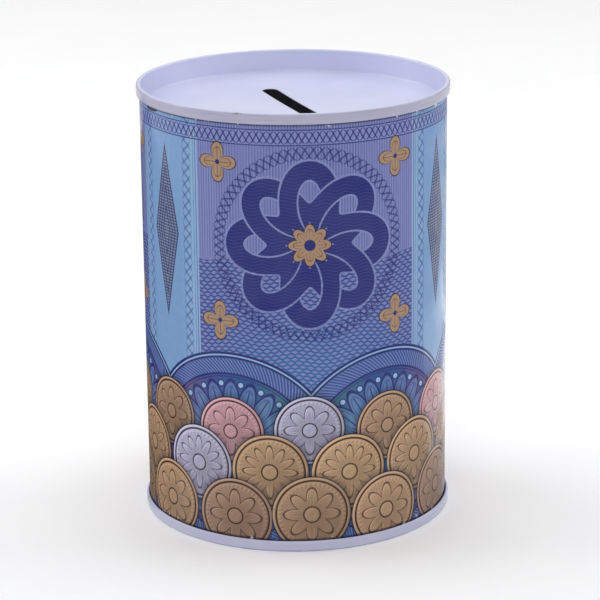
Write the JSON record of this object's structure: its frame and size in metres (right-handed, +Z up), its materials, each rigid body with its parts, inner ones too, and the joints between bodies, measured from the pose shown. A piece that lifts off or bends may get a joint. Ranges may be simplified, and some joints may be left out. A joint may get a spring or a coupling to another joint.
{
  "type": "tin money box",
  "caption": "Round sealed tinplate money box with a printed body, a recessed lid with a coin slot, and a recessed base, held by double seams.",
  "frame": {"origin": "middle of the circle that the can stands on", "axes": "+Z up along the can's axis, Y along the coin slot, the body's welded lap at +Y"},
  "size_m": [0.085, 0.085, 0.12],
  "materials": {
    "printed_tin": "printed in blue and violet over white lacquer, under gloss varnish",
    "end_lacquer": "pale lilac-white gloss lacquer"
  },
  "bodies": {
    "root": {"body": "printed_tin", "lid": "end_lacquer", "base": "end_lacquer"}
  },
  "joints": []
}
